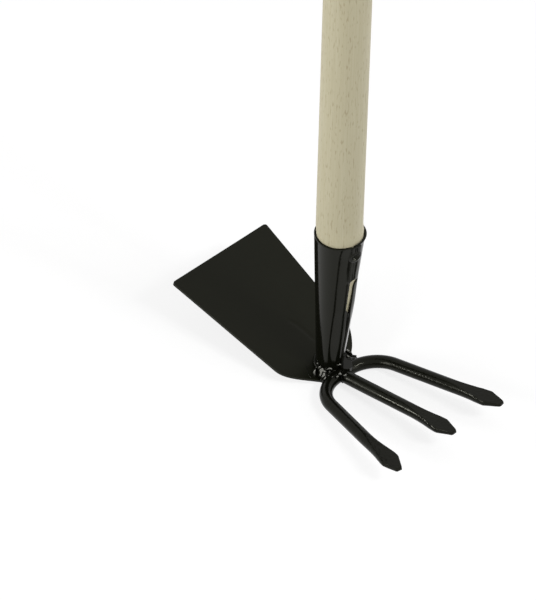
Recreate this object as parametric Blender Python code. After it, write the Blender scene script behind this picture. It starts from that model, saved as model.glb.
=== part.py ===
"""Fork and hoe combination tool: a long wooden handle in a rolled steel socket,
with a flat hoe blade on one side of the foot and a three-tined fork on the other.

Units are metres. +Z runs up the handle, +Y points to the blade, -Y to the tines.
The origin lies on the handle's axis, level with the lowest point of the head.
"""
import math
import random

import bmesh
import bpy
from mathutils import Matrix, Vector

# Joint and fitting gaps
GAP = 0.0003

# Handle, a turned beech pole that is shaved to enter the socket
HANDLE_RADIUS = 0.014
HANDLE_LENGTH = 1.300
HANDLE_FOOT_Z = 0.022
HANDLE_END_RADIUS = 0.006
HANDLE_CONE_STOP = 0.0020
HANDLE_EASE_START = 0.0015
HANDLE_EASE_END = 0.0060
HANDLE_SIDES = 48

# Socket, sheet steel rolled to a cone whose back stays nearly straight
SHEET = 0.0012
SOCKET_RIM_Z = 0.1154
SOCKET_FOOT_Z = 0.0084
SOCKET_RIM_RADIUS = 0.0155
SOCKET_FOOT_RADIUS = 0.0084
SOCKET_RIM_Y = -0.0009
SOCKET_FOOT_Y = 0.0040
SOCKET_SIDES = 64
SOCKET_FRONT_Y = -0.025

# Open seam on the fork side of the socket: a tight lower run and a wide slot above
SEAM_HALF_GAP = 0.00025
SLOT_FOOT_Z = 0.0580
SLOT_TOP_Z = 0.0835
SLOT_LEFT_X = -0.0021
SLOT_RIGHT_FOOT_X = 0.0010
SLOT_RIGHT_TOP_X = 0.0014
SLOT_CORNER = 0.0030
SLOT_NOTCH = (0.0035, 0.0843)
SLOT_HIDDEN_Z = 0.0872

# Lap of the seam above the slot, with the dimple for the fixing screw
LAP_HEIGHT = 0.0008
LAP_LEFT_RIM_X = -0.0057
LAP_LEFT_FOOT_X = -0.0049
LAP_RIGHT_X = 0.0005
LAP_FOOT_Z = 0.0862
LAP_FOOT_RISE = 0.0006
LAP_CORNER = 0.0024
SCREW_X = -0.0016
SCREW_Z = 0.1066
DIMPLE_RADIUS = 0.0040
DIMPLE_PROUD = 0.0010
DIMPLE_MOUTH = 0.0033
DIMPLE_THROAT = 0.0022
DIMPLE_ROUNDING = 0.0006

# Fixing screw
SCREW_HEAD_RADIUS = 0.0025
SCREW_HEAD_PROUD = 0.0003
SCREW_HEAD_HEIGHT = 0.0016
SCREW_HEAD_RIM = 0.0005
SCREW_POINT_RADIUS = 0.0006
SCREW_POINT_LENGTH = 0.0040
SCREW_SHANK_RADIUS = 0.0017
SCREW_LENGTH = 0.0125
SCREW_RECESS_WIDTH = 0.0007
SCREW_RECESS_SPAN = 0.0032
SCREW_RECESS_DEPTH = 0.0009

# Hoe blade, a flat plate that tilts up towards the handle; its neck is a little uneven
BLADE_THICKNESS = 0.0018
BLADE_TILT = math.radians(15.2)
BLADE_AXIS_Z = 0.0047
BLADE_REACH = 0.1045
BLADE_EDGE_HALF = 0.0395
BLADE_CORNER = 0.0016
BLADE_EDGE_ROUNDING = 0.0003
SHOULDER = (0.0309, 0.0210)
LEFT_NECK = (0.0126, -0.0026)
LEFT_NECK_PULLS = ((0.0005, 0.0088), (0.0090, 0.0088))
RIGHT_NECK = (0.0162, 0.0023)
RIGHT_NECK_PULLS = ((0.0031, 0.0064), (0.0055, 0.0043))
TONGUE_END = -0.0040

# Fork: an outer pair bent from one round bar, and a straight middle tine
ROD_RADIUS = 0.0041
ROD_SIDES = 32
FORK_TILT = math.radians(8.1)
FORK_AXIS_Z = 0.00325
FORK_BACK = 0.0062
BEND_RADIUS = 0.0223
BEND_STEPS = 10

# Each tine: start of its bend or root, splay, reach of its nose, sideways set of its tip
LEFT_TINE = (0.0036, math.radians(13.7), 0.0978, 0.0012)
MIDDLE_TINE = (-0.0002, math.radians(2.7), 0.0982, -0.0004)
RIGHT_TINE = (0.0057, math.radians(10.0), 0.1008, 0.0005)

# Forged tine tips, measured back from the nose
TIP_TAPER = 0.038
TIP_SWELL = 0.032
TIP_CORNER = 0.0105
TIP_NOSE_HALF = 0.0020
TIP_HALF_WIDTH = 0.0059
TIP_HALF_THICK = 0.0017
TIP_NOSE_THICK = 0.0010
TIP_MARKS = (0.0345, 0.031, 0.0275, 0.024, 0.0205, 0.0175, 0.015, 0.0125,
             TIP_CORNER, 0.0085, 0.006, 0.003, 0.0008, 0.0)

# Weld beads
WELD_SIDES = 12
WELD_LUMP = 0.13
FOOT_WELD_RADIUS = 0.0025
FOOT_WELD_STEPS = 64
FOOT_WELD_START = math.radians(42.0)
FORK_WELD_RADIUS = 0.0026
FORK_WELD_STEPS = 48
FORK_WELD_LEFT = -0.0135
FORK_WELD_RIGHT = 0.0150
TINE_WELD_RADIUS = 0.0013
TINE_WELD_STEPS = 36


def clear_scene():
    for item in list(bpy.data.objects):
        bpy.data.objects.remove(item)


def make_material(name, colour, roughness, metallic):
    material = bpy.data.materials.new(name)
    material.use_nodes = True
    shader = material.node_tree.nodes["Principled BSDF"]
    shader.inputs["Base Color"].default_value = (*colour, 1.0)
    shader.inputs["Roughness"].default_value = roughness
    shader.inputs["Metallic"].default_value = metallic
    material.diffuse_color = (*colour, 1.0)
    return material


def add_object(name, bm, material, crease_degrees=35.0):
    """Turn a bmesh into a named object with smooth faces and sharp creases."""
    bmesh.ops.recalc_face_normals(bm, faces=bm.faces)
    mesh = bpy.data.meshes.new(name)
    bm.to_mesh(mesh)
    bm.free()
    mesh.shade_smooth()
    mesh.set_sharp_from_angle(angle=math.radians(crease_degrees))
    obj = bpy.data.objects.new(name, mesh)
    bpy.context.scene.collection.objects.link(obj)
    if material is not None:
        mesh.materials.append(material)
    return obj


def add_cutter(name, bm):
    """A closed helper shape that only cuts its neighbours."""
    cutter = add_object(name, bm, None)
    cutter.hide_render = True
    cutter.display_type = 'WIRE'
    return cutter


def boolean(obj, other, operation):
    modifier = obj.modifiers.new(f"{operation.lower()} {other.name}", 'BOOLEAN')
    modifier.operation = operation
    modifier.solver = 'EXACT'
    modifier.object = other
    return modifier


def loft(rings, closed=False):
    """Skin a list of equally long point rings; an open run gets flat caps."""
    bm = bmesh.new()
    loops = [[bm.verts.new(point) for point in ring] for ring in rings]
    pairs = list(zip(loops, loops[1:]))
    if closed:
        pairs.append((loops[-1], loops[0]))
    count = len(loops[0])
    for lower, upper in pairs:
        for i in range(count):
            j = (i + 1) % count
            bm.faces.new((lower[i], lower[j], upper[j], upper[i]))
    if not closed:
        bm.faces.new(reversed(loops[0]))
        bm.faces.new(loops[-1])
    return bm


def circle(centre_x, centre_y, z, radius, sides):
    step = 2.0 * math.pi / sides
    return [Vector((centre_x + radius * math.cos(i * step),
                    centre_y + radius * math.sin(i * step), z)) for i in range(sides)]


def arc(centre, radius, start, end, steps):
    """Points of an arc in a plane, angles in radians, both ends included."""
    points = []
    for i in range(steps + 1):
        angle = start + (end - start) * i / steps
        points.append((centre[0] + radius * math.cos(angle),
                       centre[1] + radius * math.sin(angle)))
    return points


def prism(outline, depth_from, depth_to, place):
    """Extrude a flat outline between two depths; place maps (u, v, depth) to space."""
    rings = [[place(u, v, depth) for u, v in outline] for depth in (depth_from, depth_to)]
    return loft(rings)


def front_place(u, v, depth):
    """Outline u is X, v is Z, depth is Y."""
    return Vector((u, depth, v))


def socket_at(z):
    """Outer radius of the socket and the Y of its centre, at height z."""
    t = (SOCKET_RIM_Z - z) / (SOCKET_RIM_Z - SOCKET_FOOT_Z)
    radius = SOCKET_RIM_RADIUS + (SOCKET_FOOT_RADIUS - SOCKET_RIM_RADIUS) * t
    centre_y = SOCKET_RIM_Y + (SOCKET_FOOT_Y - SOCKET_RIM_Y) * t
    return radius, centre_y


def socket_ring(z, offset, sides=SOCKET_SIDES):
    radius, centre_y = socket_at(z)
    return circle(0.0, centre_y, z, radius + offset, sides)


def cone_shell(inner_offset, outer_offset, foot_z, rim_z):
    """A tapered tube that follows the socket, between two offsets of its outer face."""
    rings = [socket_ring(foot_z, outer_offset), socket_ring(rim_z, outer_offset),
             socket_ring(rim_z, inner_offset), socket_ring(foot_z, inner_offset)]
    return loft(rings, closed=True)


def cone_solid(offset, foot_z, rim_z):
    return loft([socket_ring(foot_z, offset), socket_ring(rim_z, offset)])


def screw_frame():
    """Matrix whose origin is on the socket's front face and whose +Z points out."""
    radius, centre_y = socket_at(SCREW_Z)
    front_slope = ((SOCKET_RIM_Y - SOCKET_RIM_RADIUS) - (SOCKET_FOOT_Y - SOCKET_FOOT_RADIUS))
    tilt = math.atan2(-front_slope, SOCKET_RIM_Z - SOCKET_FOOT_Z)
    outward = Vector((0.0, -math.cos(tilt), -math.sin(tilt)))
    side = Vector((1.0, 0.0, 0.0))
    upward = outward.cross(side)
    place = Matrix.Identity(4)
    for row in range(3):
        place[row][0] = side[row]
        place[row][1] = upward[row]
        place[row][2] = outward[row]
    place.translation = Vector((SCREW_X, centre_y - radius, SCREW_Z))
    return place


def turned(profile, sides, place):
    """Revolve a profile of (radius, height) about the local Z axis of a matrix."""
    rings = [[place @ p for p in circle(0.0, 0.0, height, radius, sides)]
             for radius, height in profile]
    return loft(rings)


def seam_outline():
    """The seam and slot of the socket, seen from the fork side, as (x, z)."""
    below = SOCKET_FOOT_Z - 0.002
    return [
        (-SEAM_HALF_GAP, below),
        (SEAM_HALF_GAP, below),
        (SEAM_HALF_GAP, SLOT_FOOT_Z - SLOT_CORNER),
        (SLOT_RIGHT_FOOT_X, SLOT_FOOT_Z + SLOT_CORNER),
        (SLOT_RIGHT_TOP_X, SLOT_TOP_Z - 0.3 * SLOT_CORNER),
        SLOT_NOTCH,
        (LAP_RIGHT_X, SLOT_HIDDEN_Z),
        (SLOT_LEFT_X, SLOT_HIDDEN_Z),
        (SLOT_LEFT_X, SLOT_FOOT_Z + SLOT_CORNER),
        (-SEAM_HALF_GAP, SLOT_FOOT_Z - SLOT_CORNER),
    ]


def lap_outline():
    """The raised lap, as (x, z): straight sides, a round corner at its lower left."""
    corner = (LAP_LEFT_FOOT_X + LAP_CORNER, LAP_FOOT_Z + LAP_CORNER)
    above = SOCKET_RIM_Z + 0.002
    points = [(LAP_RIGHT_X, above), (LAP_LEFT_RIM_X, above)]
    points += arc(corner, LAP_CORNER, math.pi, 1.5 * math.pi, 6)
    points.append((LAP_RIGHT_X, LAP_FOOT_Z + LAP_FOOT_RISE))
    return points


def make_socket(material):
    socket = add_object("socket", cone_shell(-SHEET, 0.0, SOCKET_FOOT_Z, SOCKET_RIM_Z), material)
    seam = add_cutter("seam cutter", prism(seam_outline(), SOCKET_FRONT_Y, 0.0, front_place))
    boolean(socket, seam, 'DIFFERENCE')

    lap_top = SOCKET_RIM_Z - GAP
    lap = add_cutter("lap", cone_shell(-0.5 * SHEET, LAP_HEIGHT, LAP_FOOT_Z - 0.005, lap_top))
    window = add_cutter("lap outline", prism(lap_outline(), SOCKET_FRONT_Y, 0.0, front_place))
    boolean(lap, window, 'INTERSECT')
    boolean(socket, lap, 'UNION')

    place = screw_frame()
    top = LAP_HEIGHT + DIMPLE_PROUD
    collar = [(DIMPLE_RADIUS, -0.5 * SHEET), (DIMPLE_RADIUS, top - DIMPLE_ROUNDING),
              (DIMPLE_RADIUS - 0.3 * DIMPLE_ROUNDING, top - 0.3 * DIMPLE_ROUNDING),
              (DIMPLE_RADIUS - DIMPLE_ROUNDING, top)]
    dimple = add_cutter("dimple collar", turned(collar, 32, place))
    boolean(socket, dimple, 'UNION')
    mouth = [(DIMPLE_THROAT, -0.006), (DIMPLE_THROAT, 0.0),
             (DIMPLE_MOUTH, top), (DIMPLE_MOUTH, top + 0.002)]
    hole = add_cutter("dimple hole", turned(mouth, 32, place))
    boolean(socket, hole, 'DIFFERENCE')
    return socket


def make_handle(material):
    """Loft the pole: a shaved cone inside the socket, then a straight round pole."""
    rings = []
    for z in (HANDLE_FOOT_Z, SOCKET_RIM_Z - HANDLE_CONE_STOP):
        rings.append(socket_ring(z, -SHEET - GAP, HANDLE_SIDES))
    rings.append(circle(0.0, 0.4 * SOCKET_RIM_Y, SOCKET_RIM_Z + HANDLE_EASE_START,
                        HANDLE_RADIUS - 0.0002, HANDLE_SIDES))
    rings.append(circle(0.0, 0.0, SOCKET_RIM_Z + HANDLE_EASE_END, HANDLE_RADIUS, HANDLE_SIDES))
    top = HANDLE_FOOT_Z + HANDLE_LENGTH
    flat = HANDLE_RADIUS - HANDLE_END_RADIUS
    shoulder = arc((flat, top - HANDLE_END_RADIUS), HANDLE_END_RADIUS, 0.0, 0.5 * math.pi, 6)
    for radius, z in shoulder:
        rings.append(circle(0.0, 0.0, z, radius, HANDLE_SIDES))
    handle = add_object("wooden_handle", loft(rings), material)

    bore = SCREW_SHANK_RADIUS + GAP
    depth = -SCREW_LENGTH - 0.001
    pilot = add_cutter("pilot hole", turned([(bore, depth), (bore, 0.004)], 24, screw_frame()))
    boolean(handle, pilot, 'DIFFERENCE')
    return handle


def make_screw(material):
    """Countersunk wood screw that keeps the handle in the socket."""
    place = screw_frame()
    head_top = LAP_HEIGHT + SCREW_HEAD_PROUD
    head_foot = head_top - SCREW_HEAD_HEIGHT
    point = head_foot - SCREW_LENGTH + 0.001
    profile = [(SCREW_POINT_RADIUS, point),
               (SCREW_SHANK_RADIUS, point + SCREW_POINT_LENGTH),
               (SCREW_SHANK_RADIUS, head_foot),
               (SCREW_HEAD_RADIUS, head_top - SCREW_HEAD_RIM),
               (SCREW_HEAD_RADIUS, head_top)]
    screw = add_object("fixing_screw", turned(profile, 24, place), material)
    for name, turn in (("recess a", 0.0), ("recess b", 0.5 * math.pi)):
        half = 0.5 * SCREW_RECESS_WIDTH
        reach = 0.5 * SCREW_RECESS_SPAN
        outline = [(-reach, -half), (reach, -half), (reach, half), (-reach, half)]
        spin = place @ Matrix.Rotation(turn, 4, 'Z')

        def in_head(u, v, depth, spin=spin):
            return spin @ Vector((u, v, depth))

        recess = add_cutter(name, prism(outline, head_top - SCREW_RECESS_DEPTH,
                                        head_top + 0.001, in_head))
        boolean(screw, recess, 'DIFFERENCE')
    return screw


def blade_place(u, v, depth):
    """Blade plane: u is X, v runs along the tilted plate, depth is square to it."""
    along = Vector((0.0, math.cos(BLADE_TILT), math.sin(BLADE_TILT)))
    square = Vector((0.0, -math.sin(BLADE_TILT), math.cos(BLADE_TILT)))
    return Vector((u, 0.0, BLADE_AXIS_Z)) + along * v + square * depth


def bezier(p0, p1, p2, p3, steps):
    points = []
    for i in range(steps + 1):
        t = i / steps
        a, b, c, d = (1 - t) ** 3, 3 * t * (1 - t) ** 2, 3 * t * t * (1 - t), t ** 3
        points.append(tuple(a * p0[k] + b * p1[k] + c * p2[k] + d * p3[k] for k in (0, 1)))
    return points


def blade_half_outline(neck, pulls):
    """One half of the blade's outline, from the cutting edge in to the tongue's end."""
    side = BLADE_EDGE_HALF
    points = [(side - BLADE_CORNER, BLADE_REACH),
              (side - 0.3 * BLADE_CORNER, BLADE_REACH - 0.3 * BLADE_CORNER),
              (side - 0.1 * BLADE_CORNER, BLADE_REACH - BLADE_CORNER)]
    from_side = (SHOULDER[0] - pulls[0][0], SHOULDER[1] - pulls[0][1])
    from_neck = (neck[0] + pulls[1][0], neck[1] + pulls[1][1])
    points += bezier(SHOULDER, from_side, from_neck, neck, 12)
    points.append((neck[0], TONGUE_END))
    return points


def blade_outline():
    """The whole outline as (u, v), with u across and v along the plate."""
    right = blade_half_outline(RIGHT_NECK, RIGHT_NECK_PULLS)
    left = blade_half_outline(LEFT_NECK, LEFT_NECK_PULLS)
    return right + [(-u, v) for u, v in reversed(left)]


def make_blade(material):
    blade = add_object("hoe_blade", prism(blade_outline(), -BLADE_THICKNESS, 0.0, blade_place),
                       material)
    boolean(blade, bar_cutter("tongue cutter"), 'DIFFERENCE')
    edge = blade.modifiers.new("rolled edge", 'BEVEL')
    edge.width = BLADE_EDGE_ROUNDING
    edge.segments = 2
    edge.limit_method = 'ANGLE'
    edge.angle_limit = math.radians(60.0)
    return blade


def fork_place(q, p, height=0.0):
    """Fork plane: q is X, p runs out along the tilted fork, height is square to it."""
    out = Vector((0.0, -math.cos(FORK_TILT), math.sin(FORK_TILT)))
    square = Vector((0.0, math.sin(FORK_TILT), math.cos(FORK_TILT)))
    return Vector((q, 0.0, FORK_AXIS_Z)) + out * p + square * height


def ease(value):
    """Smooth step from 0 to 1."""
    t = min(1.0, max(0.0, value))
    return t * t * (3.0 - 2.0 * t)


def tip_section(from_nose):
    """Half width and half thickness of a tine, at a distance back from its nose."""
    if from_nose < TIP_CORNER:
        t = from_nose / TIP_CORNER
        return (TIP_NOSE_HALF + (TIP_HALF_WIDTH - TIP_NOSE_HALF) * t,
                TIP_NOSE_THICK + (TIP_HALF_THICK - TIP_NOSE_THICK) * t)
    back = from_nose - TIP_CORNER
    narrow = ease(back / (TIP_SWELL - TIP_CORNER))
    thick = min(1.0, back / (TIP_TAPER - TIP_CORNER))
    return (TIP_HALF_WIDTH + (ROD_RADIUS - TIP_HALF_WIDTH) * narrow,
            TIP_HALF_THICK + (ROD_RADIUS - TIP_HALF_THICK) * thick)


def rod_ring(q, p, heading, half_width, half_thick):
    """Section of the bar at a point of its centre line, flattened above and below."""
    across = (math.cos(heading), -math.sin(heading))
    points = []
    for i in range(ROD_SIDES):
        angle = 2.0 * math.pi * i / ROD_SIDES
        side = half_width * math.cos(angle)
        height = half_thick * math.sin(angle)
        if half_thick < ROD_RADIUS:
            height = max(-half_thick, min(half_thick, ROD_RADIUS * math.sin(angle)))
        points.append(fork_place(q + across[0] * side, p + across[1] * side, height))
    return points


def tine_run(start, splay, reach, lean, flip=0.0):
    """Rings along a straight tine, from its start point out to the nose."""
    length = (reach - start[1]) / math.cos(splay)
    rings = []
    for from_nose in (length, TIP_TAPER) + TIP_MARKS:
        along = length - from_nose
        half_width, half_thick = tip_section(from_nose)
        if from_nose == 0.0:
            half_width, half_thick = 0.7 * half_width, 0.6 * half_thick
        shift = lean * ease((TIP_TAPER - from_nose) / (TIP_TAPER - TIP_CORNER))
        q = start[0] + along * math.sin(splay) + shift
        p = start[1] + along * math.cos(splay)
        rings.append(rod_ring(q, p, splay + flip, half_width, half_thick))
    return rings


def bend_rings(side, tine, radius):
    """Rings round one bend of the outer pair; returns them and the bend's end point."""
    start_q, splay = tine[0], tine[1]
    centre_q = side * start_q
    centre_p = FORK_BACK + BEND_RADIUS
    flip = 0.0 if side > 0.0 else math.pi
    rings = []
    for i in range(BEND_STEPS):
        turn = (0.5 * math.pi - splay) * i / BEND_STEPS
        q = centre_q + side * BEND_RADIUS * math.sin(turn)
        p = centre_p - BEND_RADIUS * math.cos(turn)
        rings.append(rod_ring(q, p, side * (0.5 * math.pi - turn) + flip, radius, radius))
    end = (centre_q + side * BEND_RADIUS * math.cos(splay),
           centre_p - BEND_RADIUS * math.sin(splay))
    return rings, end


def make_outer_tines(material):
    """One bar from the left nose, round both bends, to the right nose."""
    left_bend, left_end = bend_rings(-1.0, LEFT_TINE, ROD_RADIUS)
    right_bend, right_end = bend_rings(1.0, RIGHT_TINE, ROD_RADIUS)
    left = left_bend + tine_run(left_end, -LEFT_TINE[1], LEFT_TINE[2], LEFT_TINE[3], math.pi)
    right = right_bend + tine_run(right_end, *RIGHT_TINE[1:])
    return add_object("outer_tines", loft(list(reversed(left)) + right), material)


def bar_cutter(name):
    """The bent part of the outer pair, grown by the gap."""
    left = bend_rings(-1.0, LEFT_TINE, ROD_RADIUS + GAP)[0]
    right = bend_rings(1.0, RIGHT_TINE, ROD_RADIUS + GAP)[0]
    return add_cutter(name, loft(list(reversed(left)) + right))


def make_middle_tine(material):
    """Straight tine, coped to seat on the front of the outer pair's bend."""
    start = (MIDDLE_TINE[0], FORK_BACK + 0.001)
    tine = add_object("middle_tine", loft(tine_run(start, *MIDDLE_TINE[1:])), material)
    boolean(tine, bar_cutter("cope cutter"), 'DIFFERENCE')
    return tine


def lumpy(count, radius, phases, seed):
    """Uneven radii of a hand-laid bead."""
    rng = random.Random(seed)
    radii = []
    for i in range(count):
        turn = 2.0 * math.pi * i / count
        value = sum(math.sin(k * turn + phase) / (1 + n) for n, (k, phase) in enumerate(phases))
        radii.append(radius * (1.0 + WELD_LUMP * value + 0.05 * (rng.random() - 0.5)))
    return radii


def bead(path, radii, axis, closed=True):
    """A tube with an uneven radius, along a path that runs round an axis."""
    rings = []
    last = len(path) - 1
    for i, point in enumerate(path):
        before = path[i - 1] if closed or i > 0 else point
        after = path[(i + 1) % (last + 1)] if closed or i < last else point
        along = (after - before).normalized()
        side = along.cross(axis).normalized()
        upward = side.cross(along)
        ring = []
        for k in range(WELD_SIDES):
            angle = 2.0 * math.pi * k / WELD_SIDES
            ring.append(point + radii[i] * (side * math.cos(angle) + upward * math.sin(angle)))
        rings.append(ring)
    return loft(rings, closed)


def blade_cutter(name):
    """The blade's plate grown by the gap, and all that lies under it."""
    grown = []
    for u, v in blade_outline():
        outward = 1.0 + GAP / RIGHT_NECK[0]
        grown.append((u * outward, v))
    return add_cutter(name, prism(grown, -0.012, GAP, blade_place))


def foot_cutter(name):
    """The socket's foot grown by the gap, filled solid."""
    return add_cutter(name, cone_solid(GAP, SOCKET_FOOT_Z - GAP, SOCKET_FOOT_Z + 0.02))


def plate_height(y):
    """Height of the blade's upper face, level with its tongue in front of it."""
    return BLADE_AXIS_Z + max(y, -0.002) * math.tan(BLADE_TILT)


def foot_weld_point(turn):
    """Centre line of the weld round the socket's foot; turn 0 faces the fork."""
    reach = SOCKET_FOOT_RADIUS + 0.0004
    y = SOCKET_FOOT_Y - reach * math.cos(turn)
    return Vector((reach * math.sin(turn), y, plate_height(y) + 0.0012))


def make_foot_weld(material):
    """The bead on the blade round the back and the sides of the socket's foot."""
    radii = lumpy(FOOT_WELD_STEPS, FOOT_WELD_RADIUS, [(5, 0.4), (9, 2.1), (14, 4.0)], 7)
    path = []
    for i in range(FOOT_WELD_STEPS):
        t = i / (FOOT_WELD_STEPS - 1)
        path.append(foot_weld_point(FOOT_WELD_START + (2.0 * math.pi - 2.0 * FOOT_WELD_START) * t))
    horseshoe = bead(path, radii, Vector((0.0, 0.0, 1.0)), closed=False)
    weld = add_object("foot_weld", horseshoe, material, 60.0)
    boolean(weld, foot_cutter("foot cutter"), 'DIFFERENCE')
    boolean(weld, blade_cutter("plate cutter"), 'DIFFERENCE')
    boolean(weld, add_cutter("pool cutter", fork_bead(GAP)), 'DIFFERENCE')
    return weld


def bar_rear(q):
    """Fork-plane p of the bar's rear side, at a distance q from the middle."""
    start = RIGHT_TINE[0] if q > 0.0 else LEFT_TINE[0]
    beyond = max(0.0, abs(q) - start)
    outer = BEND_RADIUS + ROD_RADIUS
    return FORK_BACK + BEND_RADIUS - math.sqrt(outer * outer - beyond * beyond)


def fork_bead(growth):
    """The plain bead along the bar's rear side, before its neighbours are cut away."""
    span = FORK_WELD_RIGHT - FORK_WELD_LEFT
    radii = lumpy(FORK_WELD_STEPS, FORK_WELD_RADIUS, [(4, 1.3), (7, 0.2), (11, 3.0)], 3)
    path = []
    for i in range(FORK_WELD_STEPS):
        t = i / (FORK_WELD_STEPS - 1)
        q = FORK_WELD_LEFT + span * t
        fade = min(1.0, 0.35 + 4.0 * min(t, 1.0 - t))
        path.append(fork_place(q, bar_rear(q) + 0.0006, 0.0016))
        radii[i] = radii[i] * fade + growth
    return bead(path, radii, Vector((0.0, 0.0, 1.0)), closed=False)


def make_fork_weld(material):
    """The bead that joins the tongue and the socket's front to the fork's bar."""
    weld = add_object("fork_weld", fork_bead(0.0), material, 60.0)
    boolean(weld, foot_cutter("front cutter"), 'DIFFERENCE')
    boolean(weld, blade_cutter("tongue top cutter"), 'DIFFERENCE')
    boolean(weld, bar_cutter("bar rear cutter"), 'DIFFERENCE')
    return weld


def make_tine_weld(material):
    """The bead round the root of the middle tine."""
    radii = lumpy(TINE_WELD_STEPS, TINE_WELD_RADIUS, [(3, 0.9), (7, 2.7), (11, 5.1)], 11)
    splay = MIDDLE_TINE[1]
    root_p = FORK_BACK + ROD_RADIUS + 0.0006
    root_q = MIDDLE_TINE[0] + (root_p - FORK_BACK) * math.tan(splay)
    path = []
    for i in range(TINE_WELD_STEPS):
        turn = 2.0 * math.pi * i / TINE_WELD_STEPS
        reach = ROD_RADIUS - 0.0002
        sink = 0.0020 * math.sin(turn) ** 2
        path.append(fork_place(root_q + reach * math.cos(turn), root_p - sink,
                               reach * math.sin(turn)))
    axis = (fork_place(math.sin(splay), math.cos(splay)) - fork_place(0.0, 0.0)).normalized()
    weld = add_object("middle_tine_weld", bead(path, radii, axis), material, 60.0)
    rings = []
    for along in (-0.006, 0.012):
        q = root_q + along * math.sin(splay)
        p = root_p + along * math.cos(splay)
        rings.append(rod_ring(q, p, splay, ROD_RADIUS + GAP, ROD_RADIUS + GAP))
    boolean(weld, add_cutter("tine cutter", loft(rings)), 'DIFFERENCE')
    boolean(weld, bar_cutter("bar front cutter"), 'DIFFERENCE')
    boolean(weld, add_cutter("bead cutter", fork_bead(GAP)), 'DIFFERENCE')
    return weld


def main():
    clear_scene()
    wood = make_material("beech", (0.62, 0.53, 0.36), 0.6, 0.0)
    paint = make_material("black paint", (0.016, 0.016, 0.013), 0.3, 0.0)
    steel = make_material("screw steel", (0.35, 0.35, 0.34), 0.4, 1.0)
    make_handle(wood)
    make_socket(paint)
    make_screw(steel)
    make_blade(paint)
    make_outer_tines(paint)
    make_middle_tine(paint)
    make_foot_weld(paint)
    make_fork_weld(paint)
    make_tine_weld(paint)


main()
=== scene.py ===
# %% [markdown]
# # A fork and hoe on one long handle
# This weeding tool has a pale wooden pole in a rolled steel socket. A flat hoe blade is
# welded to one side of the socket's foot, and a fork of bent round bar to the other.
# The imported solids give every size. This file builds finer shapes round them and then
# gives wood, paint and weld the surface that they have in a photograph.

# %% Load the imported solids
import math

import bpy
import bmesh
from mathutils import Matrix, Vector


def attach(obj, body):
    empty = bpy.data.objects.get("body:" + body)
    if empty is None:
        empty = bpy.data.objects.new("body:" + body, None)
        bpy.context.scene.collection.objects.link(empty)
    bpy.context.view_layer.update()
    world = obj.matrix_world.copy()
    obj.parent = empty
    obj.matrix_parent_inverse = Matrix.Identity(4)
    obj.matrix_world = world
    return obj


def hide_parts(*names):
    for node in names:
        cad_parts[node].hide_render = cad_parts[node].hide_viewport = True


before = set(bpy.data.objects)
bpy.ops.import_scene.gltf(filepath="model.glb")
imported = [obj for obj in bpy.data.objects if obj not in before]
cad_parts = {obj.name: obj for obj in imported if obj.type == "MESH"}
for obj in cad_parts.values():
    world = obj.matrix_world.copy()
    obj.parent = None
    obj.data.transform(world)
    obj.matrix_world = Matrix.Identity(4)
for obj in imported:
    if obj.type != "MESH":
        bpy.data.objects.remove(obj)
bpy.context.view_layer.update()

# %% [markdown]
# ## Camera
# The photographer stood above the fork's left side and used a long lens. A far camera
# with a narrow field keeps the handle's sides almost parallel, as they are in the picture.

# %% Place the camera
AIM = Vector((0.0, 0.0, 0.1142))
DISTANCE = 3.0
AZIMUTH = math.radians(-46.162)
ELEVATION = math.radians(42.0)
ROLL = math.radians(-2.076)
FOCAL_PIXELS = 5095.2
AIM_PIXEL = (339.13, 233.40)
IMAGE_SIZE = (536, 600)
SENSOR = 36.0


def camera_axes():
    """Right, up and backward axes of the camera, before it is turned to centre the frame."""
    right = Vector((math.cos(AZIMUTH), math.sin(AZIMUTH), 0.0))
    back = Vector((math.sin(AZIMUTH) * math.cos(ELEVATION),
                   -math.cos(AZIMUTH) * math.cos(ELEVATION), math.sin(ELEVATION)))
    up = back.cross(right)
    tilted_right = right * math.cos(ROLL) - up * math.sin(ROLL)
    tilted_up = right * math.sin(ROLL) + up * math.cos(ROLL)
    return tilted_right, tilted_up, back


def make_camera():
    right, up, back = camera_axes()
    place = AIM + back * DISTANCE
    off_x = (IMAGE_SIZE[0] / 2 - AIM_PIXEL[0]) / FOCAL_PIXELS
    off_y = (AIM_PIXEL[1] - IMAGE_SIZE[1] / 2) / FOCAL_PIXELS
    new_back = (back - right * off_x - up * off_y).normalized()
    new_right = (right - new_back * right.dot(new_back)).normalized()
    new_up = new_back.cross(new_right)
    data = bpy.data.cameras.new("photo_camera")
    data.lens = FOCAL_PIXELS * SENSOR / max(IMAGE_SIZE)
    data.sensor_width = SENSOR
    data.clip_end = 50.0
    camera = bpy.data.objects.new("photo_camera", data)
    turn = Matrix((new_right, new_up, new_back)).transposed().to_4x4()
    camera.matrix_world = Matrix.Translation(place) @ turn
    bpy.context.scene.collection.objects.link(camera)
    bpy.context.scene.camera = camera
    print("camera lens", round(data.lens, 1), "mm at", [round(v, 3) for v in place])


make_camera()

# %% [markdown]
# ## Floor, light and surroundings
# Black paint shows little colour of its own. What the eye reads as its shape is the
# reflection of the room, so the room is built first. The table is white paper that
# still takes a soft shadow, and a mirror-like surface sees it as white as the eye does.
# Two wide lamps fill the shadows from the left and the right. Two small ones high in
# front put bright pools on flat bits of weld, and a low strip draws a line on a tine.

# %% Helpers for node trees
def add_node(tree, kind, **settings):
    """Add a node, set its plain properties, and return it."""
    node = tree.nodes.new(kind)
    for name, value in settings.items():
        setattr(node, name, value)
    return node


def wire(tree, from_socket, to_socket):
    tree.links.new(from_socket, to_socket)


def feed(tree, value, socket):
    """Give a socket a number or a link, whichever the value is."""
    if isinstance(value, (int, float)):
        socket.default_value = value
    else:
        wire(tree, value, socket)


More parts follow.
